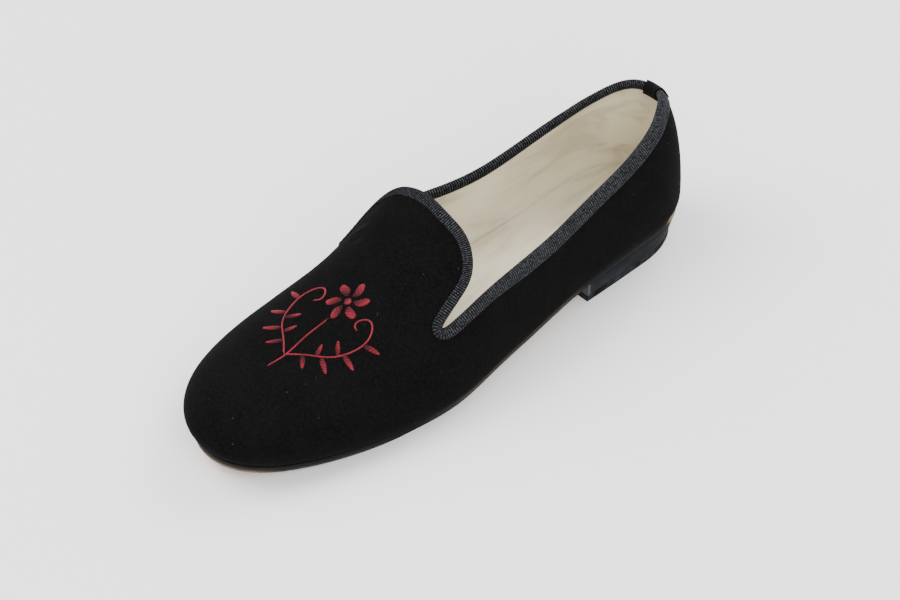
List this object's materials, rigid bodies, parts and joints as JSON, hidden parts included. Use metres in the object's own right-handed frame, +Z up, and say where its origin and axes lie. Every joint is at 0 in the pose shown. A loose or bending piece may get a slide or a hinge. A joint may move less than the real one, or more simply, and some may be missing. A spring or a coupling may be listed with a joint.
{
  "type": "velvet slipper loafer",
  "caption": "Low slip-on velvet loafer for the left foot, with a tongue-shaped vamp, ribbed grosgrain topline binding, thin leather sole and low heel.",
  "frame": {"origin": "centre of the shoe's box on the floor plane that the heel and the ball stand on", "axes": "+Z up; +Y from the toe towards the heel; +X towards the lateral side of this left shoe"},
  "size_m": [0.1022, 0.298, 0.0831],
  "materials": {
    "velvet": "black cotton velvet with a short dense nap",
    "grosgrain": "dark slate grosgrain with fine cross ribs",
    "ribbon": "black ribbon",
    "sock": "cream lining leather, matt and faintly streaked",
    "sole_leather": "natural tan sole leather with an inked edge",
    "heel_leather": "black inked heel leather, dusty",
    "heel_rubber": "black rubber top piece",
    "embroidery": "crimson satin-stitch embroidery thread"
  },
  "bodies": {
    "root": {"upper": "velvet", "topline_binding": "grosgrain", "heel_tab": "ribbon", "insole": "sock", "outsole": "sole_leather", "heel_block": "heel_leather", "heel_top_piece": "heel_rubber"}
  },
  "joints": []
}
